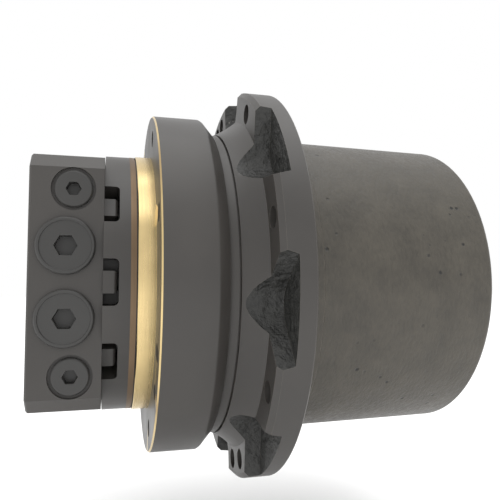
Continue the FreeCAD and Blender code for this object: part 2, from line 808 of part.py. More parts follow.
def valve_plate():
    x0 = block_face_x + face_gap / 2
    plate = ring(x0, x0 + valve_plate_thickness, valve_plate_r, shaft_spline_r + 4)
    cuts = []
    for side in (0, 180):
        half = kidney_sweep / 2
        outer, inner = kidney_r + kidney_half_width, kidney_r - kidney_half_width
        arcs = [Part.Arc(at_angle(x0 - 1, outer, side - half), at_angle(x0 - 1, outer, side),
                         at_angle(x0 - 1, outer, side + half)).toShape(),
                Part.Arc(at_angle(x0 - 1, inner, side + half), at_angle(x0 - 1, inner, side),
                         at_angle(x0 - 1, inner, side - half)).toShape()]
        end_a = Part.makeLine(at_angle(x0 - 1, outer, side + half), at_angle(x0 - 1, inner, side + half))
        end_b = Part.makeLine(at_angle(x0 - 1, inner, side - half), at_angle(x0 - 1, outer, side - half))
        outline = Part.Wire([arcs[0], end_a, arcs[1], end_b])
        cuts.append(Part.Face(outline).extrude(Vec(valve_plate_thickness + 2, 0, 0)))
    return plate.cut(cuts)


def swash_plate():
    return ring(swash_x, swash_end_x - seat_gap, swash_r, swash_bore_r)


def oil_seal():
    x0 = oil_seal_x
    x1 = oil_seal_x + oil_seal_width - seat_gap
    lip_x = x0 + oil_seal_web + oil_seal_lip
    lip_r = shaft_bearing_r + running_gap
    return turned([(x0, oil_seal_outer_r - seat_gap), (x1, oil_seal_outer_r - seat_gap),
                   (x1, oil_seal_outer_r - oil_seal_wall),
                   (x0 + oil_seal_web, oil_seal_outer_r - oil_seal_wall),
                   (lip_x, lip_r + oil_seal_lip), (lip_x, lip_r), (x0, lip_r + oil_seal_lip)])


def seal_ring(side):
    """Metal ring of the floating seal. side is -1 in the motor case and +1 in the gear case."""
    profile = [(0.5 * face_gap, seal_ring_in_r), (0.5 * face_gap, seal_ring_out_r),
               (seal_ring_flange, seal_ring_out_r),
               (seal_ring_flange + seal_ring_shoulder, seal_ring_cone_r),
               (seal_ring_length, seal_ring_cone_r - seal_ring_taper), (seal_ring_length, seal_ring_in_r)]
    return turned([(seal_face_x + side * x, r) for x, r in profile])


def seal_toric(side):
    return toric(seal_face_x + side * toric_offset, toric_centre_r, toric_r)


def bearing_spacer():
    x0 = bearing_a_x + bearing_width
    return ring(x0, x0 + bearing_spacer_length, bearing_bore_r + bearing_spacer_wall,
                bearing_bore_r + seat_gap)


def ring_nut():
    nut = ring(ring_nut_x, ring_nut_x + ring_nut_length, ring_nut_r, ring_nut_thread_r + seat_gap)
    slots = []
    for k in range(ring_nut_slots):
        slot = Part.makeBox(ring_nut_length + 2, ring_nut_slot_depth + 1, ring_nut_slot_width,
                            Vec(ring_nut_x - 1, -ring_nut_r - 1, -ring_nut_slot_width / 2))
        slots.append(about_axis(slot, 360.0 * k / ring_nut_slots))
    return nut.cut(slots)


def steel_plate(k):
    return ring(steel_x[k], steel_x[k] + disc_thickness, plate_bore_r - seat_gap, plate_inner_r)


def friction_disc(k):
    x0 = steel_x[k] + disc_thickness + face_gap
    return ring(x0, x0 + disc_thickness, friction_outer_r, barrel_r + friction_tooth_gap)


def brake_piston():
    x1 = brake_piston_x
    x0 = x1 - brake_piston_length
    step = x1 - brake_piston_nose
    groove_end = step - brake_groove_inset
    groove_start = groove_end - brake_groove_width
    slide_r = brake_bore_r - running_gap
    floor_r = brake_bore_r - brake_groove_width
    nose_r = plate_bore_r - brake_spring_outer_inset
    return turned([(x0, brake_piston_inner_r + brake_piston_back_break), (x0, slide_r),
                   (groove_start, slide_r), (groove_start, floor_r), (groove_end, floor_r),
                   (groove_end, slide_r), (step, slide_r), (step, nose_r), (x1, nose_r),
                   (x1, brake_piston_inner_r), (x0 + brake_piston_back_break, brake_piston_inner_r)])


def brake_piston_ring():
    x = brake_piston_x - brake_piston_nose - brake_groove_inset - brake_groove_width / 2
    return toric(x, brake_bore_r - brake_ring_gap - brake_ring_r, brake_ring_r)


def brake_spring():
    x1 = brake_piston_x - brake_piston_length - tight_gap
    x0 = x1 - brake_spring_rise
    outer_r = brake_bore_r - brake_spring_outer_inset
    inner_r = brake_piston_inner_r + brake_spring_inner_inset
    return turned([(x1 - brake_spring_thickness, outer_r), (x1, outer_r),
                   (x0 + brake_spring_thickness, inner_r), (x0, inner_r)])


# ---- shaft group ----

def drive_shaft():
    """Shaft with the first sun gear cut on its end."""
    collar_r = shaft_bearing_r + shaft_collar
    seal_end_x = oil_seal_x + oil_seal_width
    body = turned([(front_shaft_x, 0), (front_shaft_x, shaft_r - shaft_break),
                   (front_shaft_x + shaft_break, shaft_r), (block_face_x, shaft_r),
                   (block_face_x, shaft_spline_r), (swash_end_x, shaft_spline_r),
                   (swash_end_x, collar_r), (rear_bearing_x, collar_r),
                   (rear_bearing_x, shaft_bearing_r), (seal_end_x, shaft_bearing_r),
                   (seal_end_x + shaft_step, shaft_r), (planet_1_x - shaft_step, shaft_r),
                   (planet_1_x - shaft_step, sun_1_core_r), (shaft_end_x, sun_1_core_r),
                   (shaft_end_x, 0)])
    phase = sun_phase(0, planet_1_teeth, sun_1_teeth)
    return body.fuse(toothed_prism(sun_1_teeth, phase, planet_1_x, planet_1_end_x))


def cylinder_barrel():
    barrel = ring(barrel_x, barrel_end_x, barrel_r, shaft_spline_r + seat_gap)
    bores = []
    for angle in piston_angles:
        start = at_angle(barrel_end_x + over, piston_circle_r, angle)
        bores.append(rod(piston_r + seat_gap, start, start - Vec(piston_bore_depth + over, 0, 0)))
    return barrel.cut(bores)


def piston(angle):
    ball_x = slipper_x + piston_ball_inset
    start = at_angle(ball_x - piston_length, piston_circle_r, angle)
    neck = at_angle(ball_x - piston_neck_length, piston_circle_r, angle)
    ball = at_angle(ball_x, piston_circle_r, angle)
    body = rod(piston_r, start, neck)
    taper = Part.makeCone(piston_r, piston_neck_r, piston_neck_length - piston_ball_r / 2, neck,
                          Vec(1, 0, 0))
    return body.fuse([taper, Part.makeSphere(piston_ball_r, ball)]).removeSplitter()


def slipper(angle):
    foot = at_angle(swash_x - face_gap / 2, piston_circle_r, angle)
    low = foot - Vec(slipper_foot_thickness, 0, 0)
    top = foot - Vec(slipper_height, 0, 0)
    ball = at_angle(slipper_x + piston_ball_inset, piston_circle_r, angle)
    body = rod(slipper_r, low, foot).fuse(rod(slipper_neck_r, top, low))
    return body.removeSplitter().cut(Part.makeSphere(piston_ball_r + tight_gap, ball))


def retainer_plate():
    x1 = swash_x - face_gap / 2 - slipper_foot_thickness - tight_gap
    plate = ring(x1 - retainer_thickness, x1, retainer_r, swash_bore_r)
    holes = []
    for angle in piston_angles:
        start = at_angle(x1 - retainer_thickness - over, piston_circle_r, angle)
        through = Vec(retainer_thickness + 2 * over, 0, 0)
        holes.append(rod(slipper_neck_r + retainer_hole_gap, start, start + through))
    return plate.cut(holes)


# ---- planets ----

def planet_gear(teeth, x0, x1, distance, bore_r, angle):
    gear = toothed_prism(teeth, planet_phase(angle, teeth), x0, x1)
    centre = at_angle(0, distance, angle)
    gear.translate(centre)
    return gear.cut(rod(bore_r, centre + Vec(x0 - 1, 0, 0), centre + Vec(x1 + 1, 0, 0)))


def planet_pin(x0, x1, radius, distance, angle):
    """Pin with a head that keeps the planet on it, at the end away from its seat."""
    centre = at_angle(0, distance, angle)
    body = rod(radius, centre + Vec(x0, 0, 0), centre + Vec(x1, 0, 0))
    head = rod(planet_pin_head_r, centre + Vec(x1, 0, 0), centre + Vec(x1 + planet_pin_head_length, 0, 0))
    return body.fuse(head).removeSplitter()


def needle_set(x0, x1, pin_r, distance, angle):
    centre = at_angle(0, distance, angle)
    circle_r = pin_r + needle_r + needle_gap
    needles = []
    for k in range(needle_count):
        start = centre + at_angle(x0, circle_r, 360.0 * k / needle_count)
        needles.append(rod(needle_r, start, start + Vec(x1 - x0, 0, 0)))
    return needles


def washer(x0, pin_r, distance, angle):
    centre = at_angle(x0, distance, angle)
    outer = rod(pin_r + washer_overhang, centre, centre + Vec(washer_thickness, 0, 0))
    return outer.cut(rod(pin_r + seat_gap, centre - Vec(1, 0, 0), centre + Vec(washer_thickness + 1, 0, 0)))


def carrier_1():
    x0, x1 = carrier_x, carrier_x + carrier_plate_thickness
    plate = ring(x0, x1, centre_distance_1 + carrier_rim, carrier_bore_r + seat_gap)
    holes = []
    for angle in planet_angles:
        start = at_angle(x0 - 1, centre_distance_1, angle)
        holes.append(rod(planet_1_pin_r + seat_gap, start, start + Vec(carrier_plate_thickness + 2, 0, 0)))
        window = at_angle(x0 - 1, centre_distance_1, angle + 180.0 / planet_count)
        holes.append(rod(carrier_window_r, window, window + Vec(carrier_plate_thickness + 2, 0, 0)))
    return plate.cut(holes)


def sun_gear_2():
    phase = sun_phase(0, planet_2_teeth, sun_2_teeth)
    gear = toothed_prism(sun_2_teeth, phase, planet_2_x, planet_2_end_x)
    sleeve = ring(planet_2_end_x, carrier_x + carrier_plate_thickness, carrier_bore_r)
    bore = ring(planet_2_x - 1, carrier_x + carrier_plate_thickness + 1, shaft_r + shaft_bore_gap)
    return gear.fuse(sleeve).cut(bore)


# ---- turning side ----

def ring_gear():
    blank = ring(ring_gear_x, ring_gear_end_x, ring_gear_outer_r - seat_gap)
    return blank.cut(toothed_prism(ring_teeth, 0, ring_gear_x - 1, ring_gear_end_x + 1, internal=True))


def pocket_outline(x, shrink, flare_angle):
    """Closed outline of one scalloped pocket: a round bottom and straight sides that flare outwards."""
    flare = math.radians(flare_angle)
    r = pocket_corner_r - shrink
    centre_r = pocket_bottom_r + pocket_corner_r
    touch = (r * math.cos(flare), centre_r - r * math.sin(flare))
    run = flange_r + pocket_overrun - touch[1]
    end = (touch[0] + run * math.tan(flare), touch[1] + run)
    p0, p1 = Vec(x, -end[1], end[0]), Vec(x, -touch[1], touch[0])
    p2 = Vec(x, -(centre_r - r), 0)
    p3, p4 = Vec(x, -touch[1], -touch[0]), Vec(x, -end[1], -end[0])
    edges = [Part.makeLine(p0, p1), Part.Arc(p1, p2, p3).toShape(), Part.makeLine(p3, p4),
             Part.makeLine(p4, p0)]
    return Part.Wire(edges)


def pocket(angle):
    flare = narrow_pocket_flare_angle if angle in narrow_pockets else pocket_flare_angle
    mouth = pocket_outline(flange_x, 0, flare)
    front = Part.Face(pocket_outline(neck_x, 0, flare)).extrude(Vec(flange_x - neck_x, 0, 0))
    sunk = Part.makeLoft([mouth, pocket_outline(pocket_floor_x, pocket_draft, flare)], True, True)
    return about_axis(front.fuse(sunk), angle)


def case_shell():
    """Outline of the gear case turned about the axis: seal lip, neck, flange, pilot and cast barrel."""
    lip, groove = hub_lip_x + lip_length, neck_x
    seat = bearing_outer_r
    outline = [
        Vec(hub_lip_x, 0, seal_bore_r), Vec(hub_lip_x, 0, lip_r), Vec(lip, 0, lip_back_r),
        Vec(lip, 0, lip_back_r - lip_groove_depth), Vec(groove, 0, lip_back_r - lip_groove_depth),
        Vec(groove, 0, neck_start_r)]
    after_neck = [
        Vec(flange_x, 0, neck_end_r), Vec(flange_x, 0, flange_r - flange_chamfer),
        Vec(flange_x + flange_chamfer, 0, flange_r), Vec(flange_back_x - flange_back_break, 0, flange_r),
        Vec(flange_back_x, 0, flange_r - flange_back_break), Vec(flange_back_x, 0, sprocket_pilot_r),
        Vec(sprocket_pilot_x - sprocket_pilot_break, 0, sprocket_pilot_r),
        Vec(sprocket_pilot_x, 0, sprocket_pilot_r - sprocket_pilot_break),
        Vec(sprocket_pilot_x, 0, case_start_r), Vec(case_end_x - case_end_round, 0, case_end_r)]
    inside = [
        Vec(case_end_x, 0, case_end_r - case_end_round), Vec(case_end_x, 0, cover_r + seat_gap),
        Vec(circlip_x + circlip_width + circlip_gap, 0, cover_r + seat_gap),
        Vec(circlip_x + circlip_width + circlip_gap, 0, cover_r + circlip_depth),
        Vec(circlip_x - circlip_gap, 0, cover_r + circlip_depth),
        Vec(circlip_x - circlip_gap, 0, cover_r + seat_gap),
        Vec(cover_x, 0, cover_r + seat_gap), Vec(cover_x, 0, ring_gear_outer_r),
        Vec(ring_gear_x, 0, ring_gear_outer_r), Vec(ring_gear_x, 0, seat),
        Vec(bearing_b_x, 0, seat), Vec(bearing_b_x, 0, hub_shoulder_r),
        Vec(bearing_b_x - bearing_spacer_length, 0, hub_shoulder_r),
        Vec(bearing_b_x - bearing_spacer_length, 0, seat), Vec(hub_floor_x, 0, seat),
        Vec(hub_floor_x, 0, seal_bore_r), Vec(hub_lip_x, 0, seal_bore_r)]
    chord = (after_neck[0] + outline[-1]) * 0.5
    across = (after_neck[0] - outline[-1]).normalize()
    bow = chord + Vec(across.z, 0, -across.x) * neck_sag
    quarter = case_end_round * (1 - math.sqrt(0.5))
    corner = Vec(case_end_x - quarter, 0, case_end_r - quarter)
    edges = list(Part.makePolygon(outline).Edges)
    edges.append(Part.Arc(outline[-1], bow, after_neck[0]).toShape())
    edges += Part.makePolygon(after_neck).Edges
    edges.append(Part.Arc(after_neck[-1], corner, inside[0]).toShape())
    edges += Part.makePolygon(inside).Edges
    return Part.Face(Part.Wire(edges)).revolve(Vec(0, 0, 0), Vec(1, 0, 0), 360)


def gear_case():
    cuts = [pocket(angle) for angle in pocket_angles]
    for angle in sprocket_hole_angles:
        start = at_angle(flange_x - 1, sprocket_bolt_circle_r, angle)
        cuts.append(rod(sprocket_hole_r, start, start + Vec(flange_thickness + 2, 0, 0)))
    return case_shell().cut(cuts)


def end_cover():
    rim_r = cover_r - cover_rim_width
    body = turned([(cover_x, 0), (cover_x, cover_r - cover_lead_in),
                   (cover_x + cover_lead_in_length, cover_r), (cover_ring_x - cover_ring_r, cover_r),
                   (cover_ring_x - cover_ring_r, cover_ring_floor_r),
                   (cover_ring_x + cover_ring_r, cover_ring_floor_r), (cover_ring_x + cover_ring_r, cover_r),
                   (cover_end_x, cover_r), (cover_end_x, rim_r),
                   (cover_end_x - cover_dish_depth, rim_r - cover_dish_depth),
                   (cover_end_x - cover_dish_depth, 0)])
    holes = []
    for angle in cover_plug_angles:
        start = at_angle(cover_x - 1, cover_plug_circle_r, angle)
        holes.append(rod(cover_plug_thread_r + seat_gap, start, start + Vec(cover_thickness + 2, 0, 0)))
    return body.cut(holes)


def cover_plug(angle):
    plug = hex_plug(cover_plug_r, cover_plug_height, cover_plug_thread_r, cover_plug_thread_length,
                    cover_plug_hex_af)
    return placed(plug, at_angle(cover_end_x - cover_dish_depth, cover_plug_circle_r, angle), Vec(1, 0, 0))


def cover_circlip():
    body = ring(circlip_x, circlip_x + circlip_width, cover_r + circlip_depth - circlip_gap,
                cover_r - circlip_reach)
    gap = Part.makeBox(circlip_width + 2, 2 * cover_r, circlip_opening,
                       Vec(circlip_x - 1, 0, -circlip_opening / 2))
    return body.cut(gap)


def thrust_button():
    x0 = shaft_end_x + face_gap
    x1 = cover_x - seat_gap
    return turned([(x0, 0), (x0, thrust_button_r - thrust_button_break),
                   (x0 + thrust_button_break, thrust_button_r), (x1, thrust_button_r), (x1, 0)])


# ---- build ----

both = (-1, 1)
export("motor_case", motor_case())
export("valve_block", valve_block())
export("block_screws", group([block_screw(angle) for angle in block_screw_angles]))
export("check_valve_plugs", group([large_plug(side) for side in both]))
export("gallery_plugs", group([small_plug(side) for side in both]))
export("spool_caps", group([spool_cap(side) for side in both]))
export("counterbalance_spool", counterbalance_spool())
export("spool_spring_upper", spool_spring(1))
export("spool_spring_lower", spool_spring(-1))
for label, side in (("lower", -1), ("upper", 1)):
    export("check_poppet_" + label, check_poppet(side))
    export("check_spring_" + label, check_spring(side))
export("valve_plate", valve_plate())
export("swash_plate", swash_plate())
export("shaft_oil_seal", oil_seal())
export("seal_ring_fixed", seal_ring(-1))
export("seal_ring_turning", seal_ring(1))
export("seal_toric_fixed", seal_toric(-1))
export("seal_toric_turning", seal_toric(1))
export("bearing_spacer", bearing_spacer())
export("ring_nut", ring_nut())
export("brake_steel_plates", group([steel_plate(k) for k in range(friction_count + 1)]))
export("brake_friction_discs", group([friction_disc(k) for k in range(friction_count)]))
export("brake_piston", brake_piston())
export("brake_piston_ring", brake_piston_ring())
export("brake_spring", brake_spring())

bearings = {
    "main_bearing": (main_bearing(bearing_a_x, True), main_bearing(bearing_b_x, False)),
    "shaft_bearing": (front_shaft_bearing(), rear_shaft_bearing()),
}
for name, pair in bearings.items():
    for part_name, pieces in zip(("inner_races", "outer_races", "rollers"), zip(*pair)):
        export(name + "_" + part_name, group(pieces))

export("drive_shaft", drive_shaft())
export("cylinder_barrel", cylinder_barrel())
export("pistons", group([piston(angle) for angle in piston_angles]))
export("piston_slippers", group([slipper(angle) for angle in piston_angles]))
export("slipper_retainer", retainer_plate())
export("carrier_1", carrier_1())
export("sun_gear_2", sun_gear_2())

pins_1, pins_2, needles_1, needles_2, washers_1, washers_2 = [], [], [], [], [], []
carrier_end_x = carrier_x + carrier_plate_thickness
for number, angle in enumerate(planet_angles):
    label = "abc"[number]
    export("planet_1" + label, planet_gear(planet_1_teeth, planet_1_x, planet_1_end_x, centre_distance_1,
                                           planet_1_pin_r + planet_bore_gap, angle))
    export("planet_2" + label, planet_gear(planet_2_teeth, planet_2_x, planet_2_end_x, centre_distance_2,
                                           planet_2_pin_r + planet_bore_gap, angle))
    pins_1.append(planet_pin(carrier_x, planet_1_end_x + washer_thickness + 2 * face_gap, planet_1_pin_r,
                             centre_distance_1, angle))
    pins_2.append(planet_pin(spindle_end_x - planet_2_pin_seat,
                             planet_2_end_x + washer_thickness + 2 * face_gap,
                             planet_2_pin_r, centre_distance_2, angle))
    needles_1 += needle_set(planet_1_x, planet_1_end_x, planet_1_pin_r, centre_distance_1, angle)
    needles_2 += needle_set(planet_2_x, planet_2_end_x, planet_2_pin_r, centre_distance_2, angle)
    washers_1.append(washer(carrier_end_x + face_gap, planet_1_pin_r, centre_distance_1, angle))
    washers_1.append(washer(planet_1_end_x + face_gap, planet_1_pin_r, centre_distance_1, angle))
    washers_2.append(washer(spindle_end_x + face_gap, planet_2_pin_r, centre_distance_2, angle))
    washers_2.append(washer(planet_2_end_x + face_gap, planet_2_pin_r, centre_distance_2, angle))
export("planet_1_pins", group(pins_1))
export("planet_2_pins", group(pins_2))
export("planet_1_needles", group(needles_1))
export("planet_2_needles", group(needles_2))
export("planet_1_washers", group(washers_1))
export("planet_2_washers", group(washers_2))

export("ring_gear", ring_gear())
export("gear_case", gear_case())
export("end_cover", end_cover())
export("cover_seal_ring", toric(cover_ring_x, cover_r - cover_ring_r - seat_gap, cover_ring_r))
export("cover_plugs", group([cover_plug(angle) for angle in cover_plug_angles]))
export("cover_circlip", cover_circlip())
export("thrust_button", thrust_button())
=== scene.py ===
import json
import math
import bmesh
import bpy
from mathutils import Matrix, Vector


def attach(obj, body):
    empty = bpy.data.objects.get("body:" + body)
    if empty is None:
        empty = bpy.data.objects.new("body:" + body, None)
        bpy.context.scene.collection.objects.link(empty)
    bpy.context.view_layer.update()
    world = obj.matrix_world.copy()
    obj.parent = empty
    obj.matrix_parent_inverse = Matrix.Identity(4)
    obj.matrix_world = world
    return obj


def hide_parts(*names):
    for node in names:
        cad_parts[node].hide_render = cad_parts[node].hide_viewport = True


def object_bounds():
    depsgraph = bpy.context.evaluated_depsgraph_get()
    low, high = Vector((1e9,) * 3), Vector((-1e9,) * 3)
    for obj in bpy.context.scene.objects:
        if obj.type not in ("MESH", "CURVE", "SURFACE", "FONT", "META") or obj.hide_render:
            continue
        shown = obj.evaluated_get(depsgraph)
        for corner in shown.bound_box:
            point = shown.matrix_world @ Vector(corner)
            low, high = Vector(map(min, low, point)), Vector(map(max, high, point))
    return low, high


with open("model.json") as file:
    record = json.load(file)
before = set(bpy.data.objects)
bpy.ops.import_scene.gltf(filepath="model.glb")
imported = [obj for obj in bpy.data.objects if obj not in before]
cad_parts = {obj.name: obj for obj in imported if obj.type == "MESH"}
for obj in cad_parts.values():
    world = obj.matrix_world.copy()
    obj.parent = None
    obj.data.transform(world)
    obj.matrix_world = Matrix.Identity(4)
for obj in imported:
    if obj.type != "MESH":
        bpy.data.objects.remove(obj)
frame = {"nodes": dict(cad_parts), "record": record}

bpy.context.scene.view_settings.view_transform = "Standard"
cadBox = [list(corner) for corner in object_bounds()]
print("frame loaded:", len(frame["nodes"]), "nodes")

# camera
cameraSetup = {
    "place": (-0.0289, -0.4347, 0.0021),  # metres
    "yaw": 14.68,  # degrees, towards +X
    "pitch": 3.1,
    "roll": 0.19,
    "lens": 38.7,  # millimetres
    "sensor": 36.0,
    "nearClip": 0.01,
}


def makeCamera():
    yaw, pitch, roll = (math.radians(cameraSetup[key]) for key in ("yaw", "pitch", "roll"))
    ahead = Vector((math.sin(yaw) * math.cos(pitch), math.cos(yaw) * math.cos(pitch),
                    math.sin(pitch)))
    level = Vector((math.cos(yaw), -math.sin(yaw), 0))
    upright = level.cross(ahead)
    right = level * math.cos(roll) + upright * math.sin(roll)
    up = upright * math.cos(roll) - level * math.sin(roll)
    data = bpy.data.cameras.new("camera")
    data.lens = cameraSetup["lens"]
    data.sensor_width = cameraSetup["sensor"]
    data.clip_start = cameraSetup["nearClip"]
    camera = bpy.data.objects.new("camera", data)
    bpy.context.collection.objects.link(camera)
    turn = Matrix((right, up, -ahead)).transposed().to_4x4()
    camera.matrix_world = Matrix.Translation(cameraSetup["place"]) @ turn
    bpy.context.scene.camera = camera


makeCamera()
print("camera placed")

# materials


def newMaterial(name):
    material = bpy.data.materials.new(name)
    material.use_nodes = True
    tree = material.node_tree
    tree.nodes.clear()
    output = tree.nodes.new("ShaderNodeOutputMaterial")
    shader = tree.nodes.new("ShaderNodeBsdfPrincipled")
    tree.links.new(shader.outputs["BSDF"], output.inputs["Surface"])
    return material, tree, shader


def objectPlace(tree):
    return tree.nodes.new("ShaderNodeTexCoord").outputs["Object"]


def noise(tree, place, scale, detail=4.0, rough=0.5, stretch=(1, 1, 1)):
    mapping = tree.nodes.new("ShaderNodeMapping")
    mapping.inputs["Scale"].default_value = stretch
    tree.links.new(place, mapping.inputs["Vector"])
    node = tree.nodes.new("ShaderNodeTexNoise")
    node.inputs["Scale"].default_value = scale
    node.inputs["Detail"].default_value = detail
    node.inputs["Roughness"].default_value = rough
    tree.links.new(mapping.outputs["Vector"], node.inputs["Vector"])
    return node.outputs["Fac"]


def remap(tree, value, low, high, toLow, toHigh):
    node = tree.nodes.new("ShaderNodeMapRange")
    limits = {"From Min": low, "From Max": high, "To Min": toLow, "To Max": toHigh}
    for key, number in limits.items():
        node.inputs[key].default_value = number
    tree.links.new(value, node.inputs["Value"])
    return node.outputs["Result"]


def mixColour(tree, amount, first, second):
    node = tree.nodes.new("ShaderNodeMix")
    node.data_type = "RGBA"
    tree.links.new(amount, node.inputs["Factor"])
    for socket, colour in ((node.inputs["A"], first), (node.inputs["B"], second)):
        if isinstance(colour, tuple):
            socket.default_value = (*colour, 1)
        else:
            tree.links.new(colour, socket)
    return node.outputs["Result"]


def bump(tree, height, distance, strength=1.0, under=None):
    node = tree.nodes.new("ShaderNodeBump")
    node.inputs["Strength"].default_value = strength
    node.inputs["Distance"].default_value = distance
    tree.links.new(height, node.inputs["Height"])
    if under is not None:
        tree.links.new(under, node.inputs["Normal"])
    return node.outputs["Normal"]


def combine(tree, operation, first, second=0.0):
    node = tree.nodes.new("ShaderNodeMath")
    node.operation = operation
    for socket, value in ((node.inputs[0], first), (node.inputs[1], second)):
        if isinstance(value, float):
            socket.default_value = value
        else:
            tree.links.new(value, socket)
    return node.outputs[0]


noiseMiddle = (0.3, 0.7)  # the range that most noise values fall in


def shaded(colour, share):
    return tuple(channel * share for channel in colour)


# round spots: 1 at the heart of a cell, 0 outside the given size
def specks(tree, place, scale, size):
    cells = tree.nodes.new("ShaderNodeTexVoronoi")
    cells.inputs["Scale"].default_value = scale
    tree.links.new(place, cells.inputs["Vector"])
    return remap(tree, cells.outputs["Distance"], size * 0.5, size, 1, 0)


satinLook = {"cloudScale": 22, "grainScale": 1100, "grainDepth": 0.00003, "shade": 0.8,
             "roughness": 0.42, "smoother": 0.05, "rougher": 0.06}


# paint with soft clouds of tone and a fine grain
def satinPaint(name, colour, roughness=satinLook["roughness"]):
    look = satinLook
    material, tree, shader = newMaterial(name)
    place = objectPlace(tree)
    cloud = noise(tree, place, look["cloudScale"], 5)
    speck = noise(tree, place, look["grainScale"], 2)
    tone = remap(tree, cloud, *noiseMiddle, 0, 1)
    tree.links.new(mixColour(tree, tone, shaded(colour, look["shade"]), colour),
                   shader.inputs["Base Color"])
    tree.links.new(remap(tree, cloud, *noiseMiddle, roughness - look["smoother"],
                         roughness + look["rougher"]), shader.inputs["Roughness"])
    tree.links.new(bump(tree, speck, look["grainDepth"]), shader.inputs["Normal"])
    return material


castLook = {"rippleScale": 420, "rippleStretch": (1, 0.55, 0.55), "rippleDepth": 0.0005,
            "swellShare": 0.12, "toneRange": (0.7, 1.3), "shade": 0.6,
            "pitScale": 95, "pitSize": 0.16, "pitDepth": 0.0006, "pitShadeColour": (0.006, 0.006, 0.005),
            "pitPatchScale": 14, "pitPatchRange": (0.55, 0.6),
            "roughness": 0.42, "smoother": 0.08, "rougher": 0.1}


# paint over an as-cast face: ripples, a slow swell and patches of small pits, whose near-black colour is
# painted shade inside them
def castPaint(name, colour):
    look = castLook
    material, tree, shader = newMaterial(name)
    place = objectPlace(tree)
    waves = noise(tree, place, look["rippleScale"], 5, 0.6, stretch=look["rippleStretch"])
    swell = noise(tree, place, look["rippleScale"] * look["swellShare"], 3)
    patches = remap(tree, noise(tree, place, look["pitPatchScale"], 2), *look["pitPatchRange"], 0, 1)
    pits = combine(tree, "MULTIPLY", specks(tree, place, look["pitScale"], look["pitSize"]), patches)
    tone = remap(tree, combine(tree, "ADD", waves, swell), *look["toneRange"], 0, 1)
    body = mixColour(tree, tone, shaded(colour, look["shade"]), colour)
    # near-black in the pits: painted shade
    tree.links.new(mixColour(tree, pits, body, look["pitShadeColour"]), shader.inputs["Base Color"])
    tree.links.new(remap(tree, waves, *noiseMiddle, look["roughness"] - look["smoother"],
                         look["roughness"] + look["rougher"]), shader.inputs["Roughness"])
    rough = bump(tree, waves, look["rippleDepth"])
    height = combine(tree, "SUBTRACT", swell, pits)
    tree.links.new(bump(tree, height, look["pitDepth"], under=rough), shader.inputs["Normal"])
    return material


pocketLook = {"lumpScale": 240, "lumpDepth": 0.0015, "lumpRange": (0.35, 0.68), "shade": 0.35,
              "coarseScale": 90, "coarseDepth": 0.003, "roughness": (0.35, 0.6),
              "speckScale": 160, "speckSize": 0.1, "speckColour": (0.3, 0.28, 0.25),
              "speckPatchScale": 40, "speckPatchRange": (0.55, 0.65)}


# rough dark casting with a few bright specks
def pocketCast(name, colour):
    look = pocketLook
    material, tree, shader = newMaterial(name)
    place = objectPlace(tree)
    lumps = noise(tree, place, look["lumpScale"], 4, 0.65)
    coarse = noise(tree, place, look["coarseScale"], 3)
    patches = remap(tree, noise(tree, place, look["speckPatchScale"], 2),
                    *look["speckPatchRange"], 0, 1)
    bright = combine(tree, "MULTIPLY", specks(tree, place, look["speckScale"], look["speckSize"]),
                     patches)
    tone = remap(tree, lumps, *look["lumpRange"], 0, 1)
    body = mixColour(tree, tone, shaded(colour, look["shade"]), colour)
    tree.links.new(mixColour(tree, bright, body, look["speckColour"]), shader.inputs["Base Color"])
    tree.links.new(remap(tree, lumps, *noiseMiddle, *look["roughness"]), shader.inputs["Roughness"])
    rough = bump(tree, coarse, look["coarseDepth"])
    tree.links.new(bump(tree, lumps, look["lumpDepth"], under=rough), shader.inputs["Normal"])
    return material


metalLook = {"cloudScale": 35, "shade": 0.82, "roughness": 0.3, "smoother": 0.06, "rougher": 0.08,
             "turningScale": 700, "turningStretch": (1, 0.03, 0.03), "turningDepth": 0.00002,
             "stainScale": 11, "stainStretch": (0.3, 1, 1), "stainRange": (0.48, 0.62),
             "stainMost": 0.75}


# machined metal with fine turning marks and, where a tint is given, stained patches
def bareMetal(name, colour, roughness=metalLook["roughness"], tint=None):
    look = metalLook
    material, tree, shader = newMaterial(name)
    place = objectPlace(tree)
    cloud = noise(tree, place, look["cloudScale"], 4)
    turning = noise(tree, place, look["turningScale"], 2, stretch=look["turningStretch"])
    body = mixColour(tree, remap(tree, cloud, *noiseMiddle, 0, 1),
                     shaded(colour, look["shade"]), colour)
    if tint:
        stain = noise(tree, place, look["stainScale"], 3, 0.45, stretch=look["stainStretch"])
        amount = remap(tree, stain, *look["stainRange"], 0, look["stainMost"])
        body = mixColour(tree, amount, body, tint)
    tree.links.new(body, shader.inputs["Base Color"])
    shader.inputs["Metallic"].default_value = 1
    tree.links.new(remap(tree, turning, 0.2, 0.8, roughness - look["smoother"],
                         roughness + look["rougher"]), shader.inputs["Roughness"])
    tree.links.new(bump(tree, turning, look["turningDepth"]), shader.inputs["Normal"])
    return material


finishes = {
    "satin_black_paint": satinPaint("satinBlackPaint", (0.047, 0.043, 0.039)),
    "dark_steel": satinPaint("darkSteel", (0.036, 0.035, 0.033), 0.36),
    "ground_steel": bareMetal("groundSteel", (0.62, 0.6, 0.56)),
    "gear_steel": bareMetal("gearSteel", (0.45, 0.43, 0.4), 0.35),
    "spring_steel": bareMetal("springSteel", (0.35, 0.34, 0.33), 0.35),
    "bronze": bareMetal("bronze", (0.55, 0.38, 0.18), 0.35),
    "cast_iron": satinPaint("castIron", (0.12, 0.115, 0.11), 0.6),
    "black_rubber": satinPaint("blackRubber", (0.02, 0.02, 0.02), 0.6),
}
castCase = castPaint("castCasePaint", (0.066, 0.058, 0.044))
pocketFinish = pocketCast("pocketCasting", (0.035, 0.035, 0.032))
yellowMetal = bareMetal("yellowMachinedMetal", (0.78, 0.6, 0.3), 0.28,
                        tint=(0.25, 0.15, 0.08))
